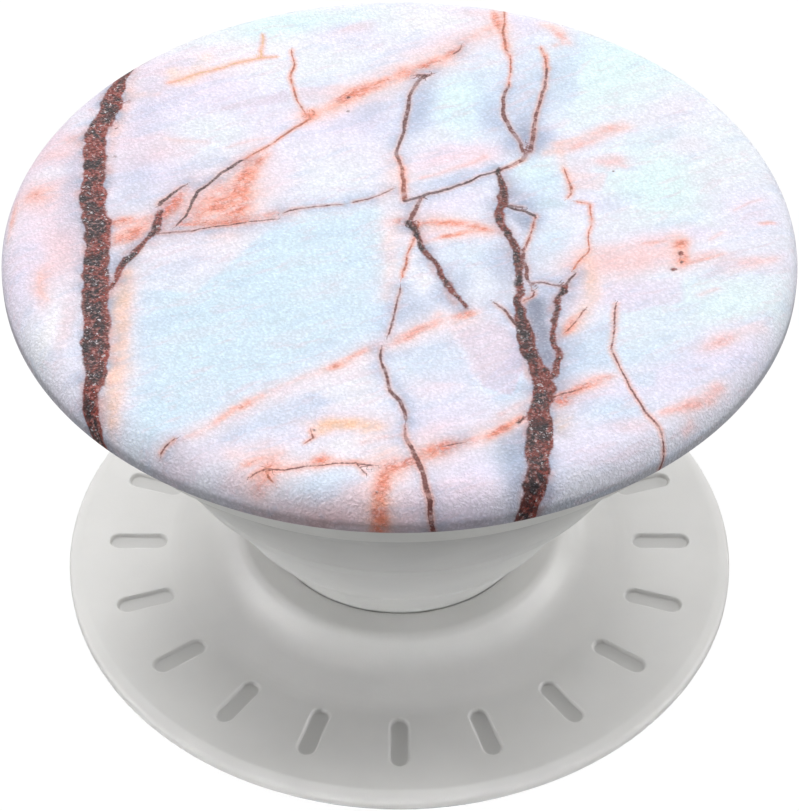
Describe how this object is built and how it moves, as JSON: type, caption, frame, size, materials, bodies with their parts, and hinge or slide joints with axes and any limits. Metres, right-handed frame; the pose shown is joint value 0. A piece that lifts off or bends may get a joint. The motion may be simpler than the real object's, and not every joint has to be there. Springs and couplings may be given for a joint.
{
  "type": "pop-out phone grip",
  "caption": "Round pop-out grip: a marble-printed button on a two-stage folding bellows that swivels in a flared adhesive platform.",
  "frame": {"origin": "centre of the adhesive pad's lower face, where the grip meets the device", "axes": "+Z along the grip's axis from the adhesive to the button; +X along the bayonet lugs in the locked state"},
  "size_m": [0.0398, 0.0398, 0.0244],
  "materials": {
    "gel": "tacky translucent grey gel",
    "tape": "closed-cell foam tape",
    "base_plastic": "satin moulded, warm light grey",
    "inner_plastic": "satin moulded, off-white",
    "elastomer": "smooth satin elastomer, warm light grey",
    "spring_steel": "bright spring steel",
    "back_plastic": "satin moulded, warm light grey",
    "shell_plastic": "moulded white",
    "marble_print": "fine pebbled satin print: pale blue and pink marble with rust-brown veins"
  },
  "bodies": {
    "base": {"gel_pad": "gel", "bonding_tape": "tape", "platform": "base_plastic", "retaining_plate": "inner_plastic"},
    "swivel": {"neck_insert": "inner_plastic", "bellows_neck": "elastomer", "lower_web": "elastomer"},
    "mid": {"mid_ring": "elastomer", "upper_web": "elastomer"},
    "head": {"bellows_collar": "elastomer", "socket_plate": "inner_plastic", "lock_spring": "spring_steel"},
    "button": {"bayonet_hub": "inner_plastic", "back_plate": "back_plastic", "top_shell": "shell_plastic", "print_film": "marble_print"}
  },
  "joints": [
    {"name": "neck_swivel", "type": "hinge", "parent": "base", "child": "swivel", "pos_m": [0, 0, 0.0019], "axis": [0, 0, 1], "continuous": true},
    {"name": "lower_fold", "type": "slide", "parent": "swivel", "child": "mid", "axis": [0, 0, 1], "range_m": [-0.0083, 0], "deforming": ["lower_web"]},
    {"name": "upper_fold", "type": "slide", "parent": "mid", "child": "head", "axis": [0, 0, 1], "range_m": [-0.0093, 0], "deforming": ["upper_web"]},
    {"name": "button_twist", "type": "hinge", "parent": "head", "child": "button", "pos_m": [0, 0, 0.0215], "axis": [0, 0, 1], "range_deg": [0, 90]}
  ]
}
